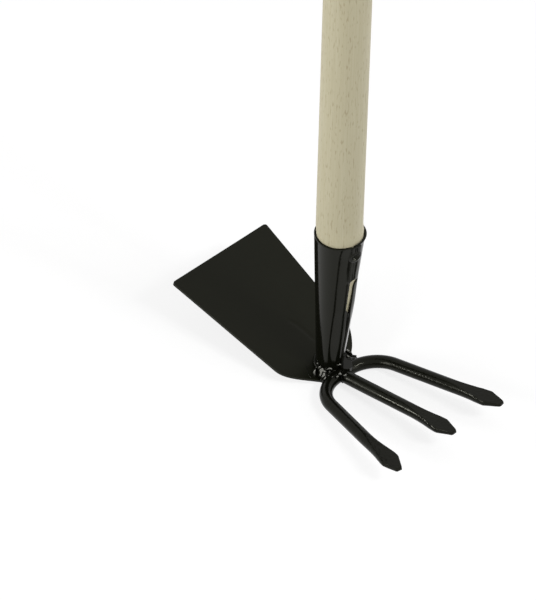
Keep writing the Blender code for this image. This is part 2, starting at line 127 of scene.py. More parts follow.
def math_node(tree, operation, first, second):
    node = add_node(tree, 'ShaderNodeMath', operation=operation)
    feed(tree, first, node.inputs[0])
    feed(tree, second, node.inputs[1])
    return node.outputs[0]


def map_range(tree, value, from_low, from_high, to_low, to_high, clamp=True, smooth=False):
    """Carry a value from one range to another, in a straight line or with soft ends."""
    node = add_node(tree, 'ShaderNodeMapRange', clamp=clamp)
    if smooth:
        node.interpolation_type = 'SMOOTHSTEP'
    wire(tree, value, node.inputs["Value"])
    ends = (("From Min", from_low), ("From Max", from_high), ("To Min", to_low), ("To Max", to_high))
    for label, end in ends:
        feed(tree, end, node.inputs[label])
    return node.outputs["Result"]


def seen_or_mirrored(tree):
    """1 where the camera, a mirror or clear glass looks at a surface, and 0 for other light."""
    path = add_node(tree, 'ShaderNodeLightPath')
    mirrored = math_node(tree, 'MAXIMUM', path.outputs["Is Glossy Ray"],
                         path.outputs["Is Transmission Ray"])
    return math_node(tree, 'MAXIMUM', path.outputs["Is Camera Ray"], mirrored)


def new_material(name):
    """A material with nodes; returns it, its tree and its main shader."""
    material = bpy.data.materials.new(name)
    material.use_nodes = True
    tree = material.node_tree
    return material, tree, tree.nodes["Principled BSDF"]


# %% Make the table
PAPER_GREY = 0.28
PAPER_GLOW = 0.785
TABLE_HALF = 30.0
TABLE_DROP = 0.0004


def paper_material():
    """Light grey under the lamps, lifted to white where the camera looks at it."""
    material, tree = new_material("white_paper")[:2]
    tree.nodes.clear()
    output = add_node(tree, 'ShaderNodeOutputMaterial')
    paper = add_node(tree, 'ShaderNodeBsdfDiffuse')
    paper.inputs["Color"].default_value = (PAPER_GREY, PAPER_GREY, PAPER_GREY, 1.0)
    glow = add_node(tree, 'ShaderNodeEmission')
    both = add_node(tree, 'ShaderNodeAddShader')
    wire(tree, math_node(tree, 'MULTIPLY', seen_or_mirrored(tree), PAPER_GLOW), glow.inputs["Strength"])
    wire(tree, paper.outputs[0], both.inputs[0])
    wire(tree, glow.outputs[0], both.inputs[1])
    wire(tree, both.outputs[0], output.inputs["Surface"])
    return material


def make_table():
    bm = bmesh.new()
    bmesh.ops.create_grid(bm, x_segments=1, y_segments=1, size=TABLE_HALF)
    mesh = bpy.data.meshes.new("paper_table")
    bm.to_mesh(mesh)
    bm.free()
    table = bpy.data.objects.new("paper_table", mesh)
    bpy.context.scene.collection.objects.link(table)
    table.location.z = -TABLE_DROP
    mesh.materials.append(paper_material())
    print("table is", 2.0 * TABLE_HALF, "m wide and", TABLE_DROP, "m below the tool's zero")


make_table()

# %% Make the room
ROOM_LEFT = 0.12
ROOM_RIGHT = 0.32
ROOM_FADE = (-0.9, 0.6)
LAMP_TARGET = Vector((0.0, 0.0, 0.1))


def make_world():
    """A dim room, darker on the left, that the camera and mirror-like surfaces see as white."""
    world = bpy.data.worlds.new("studio_room")
    world.use_nodes = True
    tree = world.node_tree
    tree.nodes.clear()
    output = add_node(tree, 'ShaderNodeOutputWorld')
    background = add_node(tree, 'ShaderNodeBackground')
    background.inputs["Color"].default_value = (1.0, 1.0, 1.0, 1.0)
    split = add_node(tree, 'ShaderNodeSeparateXYZ')
    wire(tree, add_node(tree, 'ShaderNodeTexCoord').outputs["Generated"], split.inputs[0])
    fade = map_range(tree, split.outputs["X"], *ROOM_FADE, ROOM_LEFT, ROOM_RIGHT, smooth=True)
    strength = math_node(tree, 'MAXIMUM', fade, seen_or_mirrored(tree))
    wire(tree, strength, background.inputs["Strength"])
    wire(tree, background.outputs[0], output.inputs["Surface"])
    bpy.context.scene.world = world


def make_softbox(name, direction, distance, width, height, power):
    """A rectangular lamp that looks at the tool's head from a direction."""
    data = bpy.data.lights.new(name, 'AREA')
    data.shape = 'RECTANGLE'
    data.size = width
    data.size_y = height
    data.energy = power
    lamp = bpy.data.objects.new(name, data)
    place = LAMP_TARGET + Vector(direction).normalized() * distance
    lamp.location = place
    lamp.rotation_euler = (place - LAMP_TARGET).to_track_quat('Z', 'Y').to_euler()
    bpy.context.scene.collection.objects.link(lamp)


make_world()
# Each lamp: its direction, distance, width and height in metres, and its power in watts.
make_softbox("first_key", (0.185, -0.688, 0.682), 2.6, 0.34, 0.42, 15.0)
make_softbox("second_key", (0.035, -0.684, 0.721), 2.6, 0.30, 0.36, 11.5)
make_softbox("left_fill", (-0.95, 0.02, 0.20), 2.4, 1.2, 1.6, 40.0)
make_softbox("right_fill", (0.55, -0.83, 0.25), 2.6, 2.2, 2.2, 34.0)
make_softbox("left_strip", (-0.796, 0.556, 0.25), 2.0, 0.62, 0.22, 15.0)
bpy.context.scene.view_settings.view_transform = 'Standard'
print("room has", len(bpy.data.lights), "lamps")

# %% [markdown]
# ## Paint
# The steel is dipped in black paint and baked. Paint that flows before it sets keeps a
# fine unevenness called orange peel, which breaks a straight highlight into specks. It
# is made with two sizes of noise in the bump, and the roughness varies a little too.
# The specular level says how much each paint mirrors, and a tint makes its gloss a
# little warm. The finish is duller near the root of the middle tine, so roughness is
# added there and fades out with the distance.

# %% Make the paints
def object_noise(tree, vector, scale, detail=2.0, rough=0.5):
    noise = add_node(tree, 'ShaderNodeTexNoise')
    noise.inputs["Scale"].default_value = scale
    noise.inputs["Detail"].default_value = detail
    noise.inputs["Roughness"].default_value = rough
    wire(tree, vector, noise.inputs["Vector"])
    return noise


def spread(tree, noise, low, high, from_low=0.3, from_high=0.7):
    """Noise stays near its middle, so that part is spread over the wanted range."""
    return map_range(tree, noise.outputs["Fac"], from_low, from_high, low, high)


def bump(tree, noise, strength, distance, normal=None):
    node = add_node(tree, 'ShaderNodeBump')
    node.inputs["Strength"].default_value = strength
    node.inputs["Distance"].default_value = distance
    wire(tree, noise.outputs["Fac"], node.inputs["Height"])
    if normal is not None:
        wire(tree, normal, node.inputs["Normal"])
    return node.outputs["Normal"]


def two_tone(tree, noise, dark, light):
    ramp = add_node(tree, 'ShaderNodeValToRGB')
    ramp.color_ramp.elements[0].color = (*dark, 1.0)
    ramp.color_ramp.elements[1].color = (*light, 1.0)
    wire(tree, noise.outputs["Fac"], ramp.inputs["Fac"])
    return ramp.outputs["Color"]


DULL_PLACE = (0.0, -0.027, 0.008)
DULL_REACH = (0.008, 0.017)
DULL_ROUGHNESS = 0.20


def dull_root(tree, place):
    """Extra roughness near the middle tine's root, where the finish is duller."""
    away = add_node(tree, 'ShaderNodeVectorMath', operation='DISTANCE')
    away.inputs[1].default_value = DULL_PLACE
    wire(tree, place, away.inputs[0])
    return map_range(tree, away.outputs["Value"], *DULL_REACH, DULL_ROUGHNESS, 0.0, smooth=True)


def black_paint(name, dark, light, roughness, peel, peel_scale, shine, tint=0.84):
    """Black enamel: colour, patches of roughness and two sizes of orange peel."""
    material, tree, shader = new_material(name)
    place = add_node(tree, 'ShaderNodeTexCoord').outputs["Object"]
    cloud = object_noise(tree, place, 60.0, 3.0)
    wire(tree, two_tone(tree, cloud, dark, light), shader.inputs["Base Color"])
    patch = object_noise(tree, place, 220.0, 3.0)
    rough = math_node(tree, 'ADD', spread(tree, patch, *roughness), dull_root(tree, place))
    wire(tree, rough, shader.inputs["Roughness"])
    coarse = bump(tree, object_noise(tree, place, peel_scale, 1.0), peel, 0.0006)
    fine = bump(tree, object_noise(tree, place, peel_scale * 3.2, 2.0), 0.5 * peel, 0.0002, coarse)
    wire(tree, fine, shader.inputs["Normal"])
    shader.inputs["Specular Tint"].default_value = (1.0, 1.0, tint, 1.0)
    shader.inputs["Specular IOR Level"].default_value = shine
    return material


INK = (0.0026, 0.0027, 0.0016)
INK_WORN = (0.0044, 0.0046, 0.0028)
SATIN = (0.0036, 0.0040, 0.0020)
SATIN_WORN = (0.0054, 0.0056, 0.0032)

# Each paint: its dark and light tone, range of roughness, orange peel, peel scale and shine.
gloss_paint = black_paint("gloss_black_paint", INK, INK_WORN, (0.12, 0.20), 0.24, 620.0, 0.125)
socket_paint = black_paint("socket_black_paint", INK, INK_WORN, (0.10, 0.15), 0.03, 420.0, 0.16)
blade_paint = black_paint("satin_black_paint", SATIN, SATIN_WORN, (0.30, 0.38), 0.06, 380.0, 0.14)
screw_paint = black_paint("screw_black_paint", INK, INK_WORN, (0.34, 0.42), 0.05, 900.0, 0.13)
weld_paint = black_paint("weld_black_paint", INK, INK_WORN, (0.10, 0.16), 0.05, 900.0, 0.11, 0.90)
print("made", len(bpy.data.materials), "materials so far")

# %% [markdown]
# ## Helpers for shapes
# A finished piece is a mesh in the imported model's own place and units. Each one rides on a
# body, and the imported solid that it stands for is hidden.

# %% Helpers for shapes
MM = 0.001


def finish_piece(name, mesh, material, node, crease_degrees=40.0):
    """Name a mesh object, shade it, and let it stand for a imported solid."""
    mesh.name = name
    mesh.materials.clear()
    mesh.materials.append(material)
    mesh.shade_smooth()
    mesh.set_sharp_from_angle(angle=math.radians(crease_degrees))
    piece = bpy.data.objects.new(name, mesh)
    bpy.context.scene.collection.objects.link(piece)
    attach(piece, "root")
    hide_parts(node)
    print(name, "has", len(mesh.polygons), "faces")
    return piece


def round_edges(piece, label, width, segments):
    """A bevel on every edge that turns by more than 60 degrees."""
    edge = piece.modifiers.new(label, 'BEVEL')
    edge.width = width
    edge.segments = segments
    edge.limit_method = 'ANGLE'
    edge.angle_limit = math.radians(60.0)


def mesh_from_bmesh(name, bm):
    bmesh.ops.recalc_face_normals(bm, faces=bm.faces)
    mesh = bpy.data.meshes.new(name)
    bm.to_mesh(mesh)
    bm.free()
    return mesh


def smooth_step(value):
    t = min(1.0, max(0.0, value))
    return t * t * (3.0 - 2.0 * t)


def between(value, points):
    """Straight-line reading of a list of (position, value) pairs."""
    if value <= points[0][0]:
        return points[0][1]
    for (a, va), (b, vb) in zip(points, points[1:]):
        if value <= b:
            return va + (vb - va) * (value - a) / (b - a)
    return points[-1][1]


def spaced(low, high, count):
    """Evenly spaced numbers from low to high, both included."""
    return [low + (high - low) * i / count for i in range(count + 1)]


# %% Helpers for geometry node trees
def new_tree(name, inputs):
    """An empty geometry node tree with named inputs; returns it and its end nodes."""
    tree = bpy.data.node_groups.new(name, 'GeometryNodeTree')
    tree.interface.new_socket(name="Geometry", in_out='INPUT', socket_type='NodeSocketGeometry')
    for label, kind in inputs:
        tree.interface.new_socket(name=label, in_out='INPUT', socket_type=kind)
    tree.interface.new_socket(name="Geometry", in_out='OUTPUT', socket_type='NodeSocketGeometry')
    return tree, add_node(tree, 'NodeGroupInput'), add_node(tree, 'NodeGroupOutput')


def close_tree(tree, geometry, material, end):
    """Every tree ends in real faces with a material."""
    real = add_node(tree, 'GeometryNodeRealizeInstances')
    dress = add_node(tree, 'GeometryNodeSetMaterial')
    dress.inputs["Material"].default_value = material
    wire(tree, geometry, real.inputs["Geometry"])
    wire(tree, real.outputs["Geometry"], dress.inputs["Geometry"])
    wire(tree, dress.outputs["Geometry"], end.inputs["Geometry"])
    print(tree.name, "tree has", len(tree.nodes), "nodes")


def guide_object(points, attributes=None):
    """A line of points that a tree can follow, with numbers stored on the points."""
    mesh = bpy.data.meshes.new("guide")
    edges = [(i, i + 1) for i in range(len(points) - 1)]
    mesh.from_pydata([tuple(p) for p in points], edges, [])
    for label, values in (attributes or {}).items():
        layer = mesh.attributes.new(label, 'FLOAT', 'POINT')
        layer.data.foreach_set("value", values)
    guide = bpy.data.objects.new("guide", mesh)
    bpy.context.scene.collection.objects.link(guide)
    return guide


def set_free(holder):
    """Turn an object with modifiers into a plain mesh and remove the object."""
    seen = holder.evaluated_get(bpy.context.evaluated_depsgraph_get())
    mesh = bpy.data.meshes.new_from_object(seen)
    bpy.data.objects.remove(holder)
    return mesh


def grow(guide, tree, settings):
    """Run a tree on a guide and return the result as a plain mesh."""
    modifier = guide.modifiers.new("grow", 'NODES')
    modifier.node_group = tree
    for item in tree.interface.items_tree:
        if item.in_out == 'INPUT' and item.name in settings:
            modifier[item.identifier] = settings[item.name]
    return set_free(guide)


# %% [markdown]
# ## Wood
# The pole is pale beech under a thin clear coat. Beech has a fine straight grain, slow
# changes of tone along the pole, and the short brown dashes of its rays. Each is a
# noise that is stretched along the pole, because wood fibres run that way.

# %% Make the wood
def stretched_noise(tree, vector, scale, detail):
    """Noise on Object coordinates that have their own scale on each axis."""
    mapping = add_node(tree, 'ShaderNodeMapping')
    mapping.inputs["Scale"].default_value = scale
    wire(tree, vector, mapping.inputs["Vector"])
    return object_noise(tree, mapping.outputs["Vector"], 1.0, detail)


def stain(tree, share, under, colour):
    """Lay a colour over another one, as much as the share says."""
    mix = add_node(tree, 'ShaderNodeMix', data_type='RGBA')
    wire(tree, share, mix.inputs["Factor"])
    wire(tree, under, mix.inputs["A"])
    mix.inputs["B"].default_value = (*colour, 1.0)
    return mix.outputs["Result"]


def beech_wood():
    material, tree, shader = new_material("pale_beech")
    place = add_node(tree, 'ShaderNodeTexCoord').outputs["Object"]
    broad = stretched_noise(tree, place, (55.0, 55.0, 2.2), 3.0)
    fibre = stretched_noise(tree, place, (1500.0, 1500.0, 22.0), 3.0)
    ray = stretched_noise(tree, place, (1300.0, 1300.0, 230.0), 0.0)
    tone = two_tone(tree, broad, (0.435, 0.398, 0.262), (0.520, 0.486, 0.345))
    tone = stain(tree, spread(tree, fibre, 0.0, 0.34), tone, (0.370, 0.320, 0.195))
    tone = stain(tree, spread(tree, ray, 0.0, 0.42, 0.64, 0.78), tone, (0.240, 0.170, 0.085))
    wire(tree, tone, shader.inputs["Base Color"])
    wire(tree, spread(tree, fibre, 0.42, 0.60), shader.inputs["Roughness"])
    wire(tree, bump(tree, fibre, 0.10, 0.0002), shader.inputs["Normal"])
    print("wood is mixed by", len(tree.nodes), "nodes")
    return material


wood = beech_wood()

# %% [markdown]
# ## Handle
# A pole could be a stretched cylinder. This one is shaved to a cone that follows the
# inside of the socket, and the cone leans a little towards the blade. A curve that
# carries its own radius describes that well: the tree moves the curve sideways below
# the rim and sets the radius at each point before it skins the curve.

# %% Sizes that the handle shares with the socket
RIM_Z = 115.4 * MM
FOOT_Z = 8.4 * MM
RIM_RADIUS = 15.5 * MM
FOOT_RADIUS = 8.4 * MM
RIM_Y = -0.9 * MM
FOOT_Y = 4.0 * MM
SHEET = 1.0 * MM
BORE_WALL = 1.5 * MM
POLE_RADIUS = 14.0 * MM
POLE_FOOT_Z = 22.0 * MM
POLE_LENGTH = 1.300
POLE_EASE = 6.0 * MM
POLE_STEPS = 300
POLE_SIDES = 96
print("cone is", round((RIM_Z - FOOT_Z) / MM, 1), "mm tall")


# %% Tree for the handle
def pole_tree(material):
    names = ("Pole radius", "Cone rim radius", "Cone foot radius", "Rim height", "Foot height",
             "Rim drift", "Foot drift", "Ease")
    tree, start, end = new_tree("Handle pole", [(name, 'NodeSocketFloat') for name in names])
    given = start.outputs
    curve = add_node(tree, 'GeometryNodeMeshToCurve')
    resample = add_node(tree, 'GeometryNodeResampleCurve', mode='COUNT')
    resample.inputs["Count"].default_value = POLE_STEPS
    position = add_node(tree, 'GeometryNodeInputPosition')
    split = add_node(tree, 'ShaderNodeSeparateXYZ')
    wire(tree, position.outputs[0], split.inputs[0])
    height = split.outputs["Z"]
    ease_end = math_node(tree, 'ADD', given["Rim height"], given["Ease"])
    in_pole = map_range(tree, height, given["Rim height"], ease_end, 0.0, 1.0, smooth=True)
    cone = (given["Foot height"], given["Rim height"])
    cone_radii = (given["Cone foot radius"], given["Cone rim radius"])
    cone_radius = map_range(tree, height, *cone, *cone_radii, False)
    cone_drift = map_range(tree, height, *cone, given["Foot drift"], given["Rim drift"], False)
    radius = map_range(tree, in_pole, 0.0, 1.0, cone_radius, given["Pole radius"], False)
    drift = map_range(tree, in_pole, 0.0, 1.0, cone_drift, 0.0, False)
    offset = add_node(tree, 'ShaderNodeCombineXYZ')
    keep = add_node(tree, 'GeometryNodeCaptureAttribute', domain='POINT')
    keep.capture_items.new('FLOAT', "radius")
    keep.capture_items.new('VECTOR', "drift")
    move = add_node(tree, 'GeometryNodeSetPosition')
    size = add_node(tree, 'GeometryNodeSetCurveRadius')
    circle = add_node(tree, 'GeometryNodeCurvePrimitiveCircle', mode='RADIUS')
    circle.inputs["Resolution"].default_value = POLE_SIDES
    circle.inputs["Radius"].default_value = 1.0
    skin = add_node(tree, 'GeometryNodeCurveToMesh')
    skin.inputs["Fill Caps"].default_value = True
    for source, target in (
            (given["Geometry"], curve.inputs[0]), (curve.outputs[0], resample.inputs["Curve"]),
            (drift, offset.inputs["Y"]), (resample.outputs[0], keep.inputs["Geometry"]),
            (radius, keep.inputs["radius"]), (offset.outputs[0], keep.inputs["drift"]),
            (keep.outputs["Geometry"], move.inputs["Geometry"]),
            (keep.outputs["drift"], move.inputs["Offset"]), (move.outputs[0], size.inputs["Curve"]),
            (keep.outputs["radius"], size.inputs["Radius"]), (size.outputs[0], skin.inputs["Curve"]),
            (circle.outputs[0], skin.inputs["Profile Curve"]),
            (keep.outputs["radius"], skin.inputs["Scale"])):
        wire(tree, source, target)
    close_tree(tree, skin.outputs["Mesh"], material, end)
    return tree


# %% Make the handle
def make_handle():
    tree = pole_tree(wood)
    guide = guide_object([(0.0, 0.0, POLE_FOOT_Z), (0.0, 0.0, POLE_FOOT_Z + POLE_LENGTH)])
    mesh = grow(guide, tree, {
        "Pole radius": POLE_RADIUS, "Cone rim radius": RIM_RADIUS - BORE_WALL,
        "Cone foot radius": FOOT_RADIUS - BORE_WALL, "Rim height": RIM_Z,
        "Foot height": FOOT_Z, "Rim drift": RIM_Y, "Foot drift": FOOT_Y, "Ease": POLE_EASE})
    piece = finish_piece("handle_pole", mesh, wood, "wooden_handle", 50.0)
    round_edges(piece, "round end", 6.0 * MM, 6)


make_handle()

# %% [markdown]
# ## Socket
# The socket is one flat sheet rolled to a cone, so its two long edges meet on the fork
# side. Below they touch, in the middle they leave a slot that shows the wood, and above
# one edge is pressed up over the other to make a lap for the screw. The mesh is rolled
# in the same way: each row runs from one edge round the back to the other edge, and the
# rows end where the real sheet was cut. Hand rolling left a flatter band beside the lap,
# a pressed side next to it, a flat end that stands out at the seam and a flat strip with
# a crease beside the slot. They are added to the cone's radius as small heights, because
# gloss paint shows a tenth of a millimetre.

# %% Outline of the two edges of the sheet
def cone_at(z):
    """Radius of the socket's outer face and the Y of its centre."""
    t = (RIM_Z - z) / (RIM_Z - FOOT_Z)
    return RIM_RADIUS + (FOOT_RADIUS - RIM_RADIUS) * t, RIM_Y + (FOOT_Y - RIM_Y) * t


# Place of the screw, foot of the lap, cut beside the slot, top of the hidden edge, radius of
# the ear about the screw, and where the lap begins, in mm. Places along the sheet are in mm
# of arc from the front, to the right.
SCREW_AT = (-1.6, 106.6)
LAP_FOOT = 85.4
CUT_AT = -2.2
HIDDEN_TOP = 85.2
ROUND_OFF = 4.2
PAST_CUT = CUT_AT + 0.01


def near_edge(z):
    """Where the sheet that lies under the lap starts."""
    return between(z, [(8.4, 0.25), (24.0, 0.45), (32.0, 0.9), (40.0, 1.35), (49.0, 1.7),
                       (56.0, 1.4), (59.0, 1.5), (66.0, 2.1), (74.5, 2.4), (79.0, 2.6),
                       (80.3, 3.0), (81.3, 4.3), (82.5, 6.2), (82.7, 6.2), (83.4, 4.0),
                       (84.4, 1.4), (HIDDEN_TOP, -0.8), (100.0, -0.8), (108.0, -2.2)])


def far_edge(z):
    """Where the sheet that makes the lap ends, with a round ear about the screw."""
    if z < LAP_FOOT:
        return between(z, [(8.4, -0.2), (24.0, 0.0), (32.0, 0.45), (40.0, 0.9), (49.0, 1.25),
                           (55.0, 0.95), (57.0, -0.3), (60.6, CUT_AT)])
    edge = between(z, [(85.4, CUT_AT + 0.02), (85.7, -1.5), (86.4, -0.1), (86.8, 0.7), (92.0, 0.5),
                       (98.0, 0.75), (104.0, 1.0), (110.0, 1.2), (115.4, 1.2)])
    rise = z - SCREW_AT[1]
    if abs(rise) < ROUND_OFF:
        edge = max(edge, SCREW_AT[0] + math.sqrt(ROUND_OFF * ROUND_OFF - rise * rise))
    return edge


print("slot is", round(near_edge(70.0) - CUT_AT, 2), "mm wide in its middle")

# %% Small heights of the hand-rolled sheet
def lap_lift(arc, z):
    """How far the lap stands out, in mm, with a soft step along its left side and corner."""
    left = between(z, [(86.0, -5.5), (91.0, -5.85), (96.0, -6.2), (115.4, -6.3)])
    inside_x = arc - left
    inside_z = z - (LAP_FOOT - 2.2)
    corner = 3.0
    if arc > PAST_CUT:
        inside = inside_x
    elif inside_x < corner and inside_z < corner:
        inside = corner - math.hypot(corner - inside_x, corner - inside_z)
    else:
        inside = min(inside_x, inside_z)
    step = between(inside, [(0.0, 0.0), (0.3, 0.02), (0.75, 0.10), (1.2, 0.20), (1.65, 0.33),
                            (2.1, 0.46), (2.4, 0.50)])
    return step + between(inside_x, [(4.4, 0.0), (6.0, 0.22), (7.2, 0.42), (8.6, 0.66)])


def dimple(arc, z):
    """The raised ring round the screw and the hollow inside it, in mm."""
    reach = math.hypot(arc - SCREW_AT[0], z - SCREW_AT[1])
    if reach > 3.0:
        return 0.5 * (1.0 - smooth_step((reach - 3.0) / 1.4))
    return -1.2 + 1.7 * smooth_step((reach - 1.3) / 1.7)


def flattened(angle, z):
    """The sheet is a little flatter than a true cone to the left of the lap, in mm."""
    across = (angle - between(z, [(50.0, -30.0), (75.0, -33.5)])) / 28.0
    more = between(z, [(58.0, 0.0), (76.0, 0.22), (95.0, 0.32), (108.0, 0.32), (115.4, 0.1)])
    sunk = more * (smooth_step((angle + 60.0) / 32.0) - smooth_step((angle + 20.0) / 50.0))
    if abs(across) >= 1.0:
        return -sunk
    depth = between(z, [(12.0, 0.1), (30.0, 0.5), (50.0, 0.5), (60.0, 0.4), (105.0, 0.42),
                        (115.4, 0.3)])
    return -depth * (1.0 - across * across) ** 2 - sunk


def proud_end(arc, z):
    """Below the slot the end of the sheet stayed flat and stands out at the seam, in mm."""
    height = between(z, [(8.4, 0.3), (20.0, 0.9), (50.0, 1.0), (57.0, 0.6), (62.0, 0.15), (70.0, 0.0)])
    left = 1.0 - (arc - near_edge(z)) / 5.5
    return height * left * left if left > 0.0 else 0.0


CREASE_AT = 5.7
CREASE_END = 8.2
CREASE_HEIGHT = 0.32
BEHIND_CREASE = 0.16


def flat_strip(arc, z):
    """Right of the slot the sheet stayed flat up to a crease where it turns away, in mm."""
    much = between(z, [(46.0, 0.0), (54.0, 0.9), (60.0, 1.0), (82.0, 1.0), (90.0, 0.5),
                       (104.0, 0.4), (112.0, 0.0)])
    if arc < CREASE_AT:
        start = near_edge(z)
        return CREASE_HEIGHT * much * max(0.0, arc - start) / max(0.5, CREASE_AT - start)
    left = max(0.0, (CREASE_END - arc) / (CREASE_END - CREASE_AT))
    fall = (CREASE_HEIGHT + BEHIND_CREASE) * left * left
    return much * (fall - BEHIND_CREASE * smooth_step((15.0 - arc) / 5.0))


PRESSED_TO = 24.0


def pressed_in(arc, z):
    """The right side is pressed in next to the lap, and its hidden edge lies deeper."""
    along = between(z, [(62.0, 0.0), (68.5, 0.12), (75.0, 0.3), (82.0, 0.45), (92.0, 0.42),
                        (101.5, 0.52), (108.0, 0.55), (113.0, 0.5), (114.6, 0.35), (115.4, -0.15)])
    deeper = 0.25 * smooth_step(1.0 - arc) * smooth_step((z - 83.0) / 2.0)
    fade = smooth_step((PRESSED_TO - arc) / 13.0)
    return -along * fade - deeper + proud_end(arc, z) + flat_strip(arc, z)


print("lap stands", lap_lift(CUT_AT, 95.0), "mm proud of the cone")

# %% Roll the sheet
RIGHT_FIXED = 9.0
LEFT_FIXED = -8.0
SHEET_FOOT = 8.4
SHEET_RIM = 115.4
HIDDEN_COLUMNS = 26
MAIN_COLUMNS = 104
SIDE_COLUMNS = 34
LAP_COLUMNS = 16
FINER_ROWS = ((54.0, 61.5, 0.3), (79.0, 87.4, 0.12), (87.4, 90.0, 0.3), (101.0, 112.0, 0.3))
CLOSEST_ROWS = 0.06


def socket_rows():
    """Heights of the rows, about 1 mm apart, and finer round the slot's ends and the screw."""
    marks = spaced(SHEET_FOOT, SHEET_RIM, 106)
    for low, high, step in FINER_ROWS:
        marks += [low + step * i for i in range(int((high - low) / step) + 1)]
    marks.append(LAP_FOOT)
    rows = []
    for mark in sorted(marks):
        if not rows or mark - rows[-1] > CLOSEST_ROWS or mark == LAP_FOOT:
            rows.append(min(mark, SHEET_RIM))
    return rows


LAP_FROM = 80.0
DIMPLE_FROM = 100.0


def sheet_point(arc, z, lifted):
    """A point of the sheet's outer face; the lap's side is lifted, the other pressed in."""
    radius, centre = cone_at(z * MM)
    angle = arc * MM / radius
    if angle > math.pi:
        angle -= 2.0 * math.pi
    lift = flattened(math.degrees(angle), z)
    if lifted:
        if z > LAP_FROM:
            lift += lap_lift(arc, z) + (dimple(arc, z) if z > DIMPLE_FROM else 0.0)
    elif arc < PRESSED_TO:
        lift += pressed_in(arc, z)
    reach = radius + lift * MM
    return (reach * math.sin(angle), centre - reach * math.cos(angle), z * MM)


def make_socket():
    """Four strips share their side columns: hidden edge, main sheet, lap side and lap."""
    bm = bmesh.new()
    before = None
    for z in socket_rows():
        around = 2.0 * math.pi * cone_at(z * MM)[0] / MM
        under = spaced(near_edge(z), RIGHT_FIXED, HIDDEN_COLUMNS)
        wide = spaced(RIGHT_FIXED, around + LEFT_FIXED, MAIN_COLUMNS)[1:]
        side = spaced(LEFT_FIXED, CUT_AT, SIDE_COLUMNS)[1:]
        row = [bm.verts.new(sheet_point(arc, z, False)) for arc in under + wide]
        row += [bm.verts.new(sheet_point(arc, z, True)) for arc in side]
        main_count = len(row)
        edge = far_edge(z)
        if edge > PAST_CUT:
            lap = spaced(CUT_AT, edge, LAP_COLUMNS)[1:]
            row += [bm.verts.new(sheet_point(arc, z, True)) for arc in lap]
        if before:
            shared = min(len(before), len(row))
            if len(before) != len(row):
                shared = main_count
            for i in range(shared - 1):
                bm.faces.new((before[i], before[i + 1], row[i + 1], row[i]))
        before = row
    return mesh_from_bmesh("rolled_socket", bm)


def outward(mesh, centre):
    """Turn the faces of an open sheet away from a vertical line, if they face it."""
    facing = sum((face.center - centre).dot(Vector((face.normal.x, face.normal.y, 0.0)))
                 for face in mesh.polygons)
    if facing < 0.0:
        mesh.flip_normals()
    return mesh


socket_mesh = outward(make_socket(), Vector((0.0, 0.001, 0.06)))
socket = finish_piece("rolled_socket", socket_mesh, socket_paint, "socket", 35.0)
wall = socket.modifiers.new("sheet", 'SOLIDIFY')
wall.thickness = SHEET
wall.offset = -1.0
round_edges(socket, "cut edges", 0.12 * MM, 2)

# %% [markdown]
# ## Fixing screw
# A countersunk screw goes through the lap into the wood. Its head sits deep in the
# dimple. It is turned from a profile of radius and height in mm, and two crossed slots
# are pressed into its top.

# %% Make the screw
SCREW_HEAD = [(0.0, -0.70), (0.9, -0.71), (1.5, -0.75), (1.75, -0.88), (1.8, -1.1), (1.4, -1.9),
              (0.0, -1.9)]
SLOT_HALF = 0.3
SLOT_REACH = 1.6
SLOT_DEPTH = 0.22


def screw_matrix():
    radius, centre = cone_at(SCREW_AT[1] * MM)
    lean = math.atan2((RIM_RADIUS - RIM_Y) - (FOOT_RADIUS - FOOT_Y), RIM_Z - FOOT_Z)
    outward_axis = Vector((0.0, -math.cos(lean), -math.sin(lean)))
    side = Vector((1.0, 0.0, 0.0))
    upward = outward_axis.cross(side)
    turn = Matrix((side, upward, outward_axis)).transposed().to_4x4()
    place = Vector((SCREW_AT[0] * MM, centre - radius, SCREW_AT[1] * MM))
    return Matrix.Translation(place) @ turn


def make_screw():
    bm = bmesh.new()
    place = screw_matrix()
    sides = 48
    rings = []
    for radius, height in SCREW_HEAD:
        if radius == 0.0:
            rings.append([bm.verts.new(place @ Vector((0.0, 0.0, height * MM)))])
            continue
        ring = []
        for i in range(sides):
            angle = 2.0 * math.pi * i / sides
            point = Vector((radius * math.cos(angle), radius * math.sin(angle), height))
            if radius < SLOT_REACH and min(abs(point.x), abs(point.y)) < SLOT_HALF:
                point.z -= SLOT_DEPTH
            ring.append(bm.verts.new(place @ (point * MM)))
        rings.append(ring)
    for first, second in zip(rings, rings[1:]):
        for i in range(sides):
            j = (i + 1) % sides
            if len(first) == 1:
                bm.faces.new((first[0], second[i], second[j]))
            elif len(second) == 1:
                bm.faces.new((first[i], second[0], first[j]))
            else:
                bm.faces.new((first[i], second[i], second[j], first[j]))
    mesh = mesh_from_bmesh("screw_head", bm)
    finish_piece("screw_head", mesh, screw_paint, "fixing_screw", 40.0)


make_screw()

# %% [markdown]
# ## Hoe blade
# The blade is cut from plate and welded on at a slant. Real plate is never quite flat,
# and here a faint crease runs from the middle to the neck. A fine grid between the
# blade's two side curves can carry such a wave, which a plain extruded outline cannot.

# %% Bar that the blade's tongue meets
# In mm: radius of the bar, radius of its bends, how far its middle lies in front of the
# handle's axis, and how far to the left and to the right of the middle the bends start.
ROD = 4.1
BEND = 22.3
FORK_BACK = 6.2
LEFT_START = 3.6
RIGHT_START = 5.7


def bar_rear(q, gap=0.0):
    """Distance from the handle's axis to the rear side of the bent bar, in mm."""
    beyond = max(0.0, abs(q) - (RIGHT_START if q > 0.0 else LEFT_START))
    outer = BEND + ROD + gap
    return FORK_BACK + BEND - math.sqrt(outer * outer - beyond * beyond)


print("bar's rear side lies", round(bar_rear(0.0), 2), "mm in front of the handle's axis")

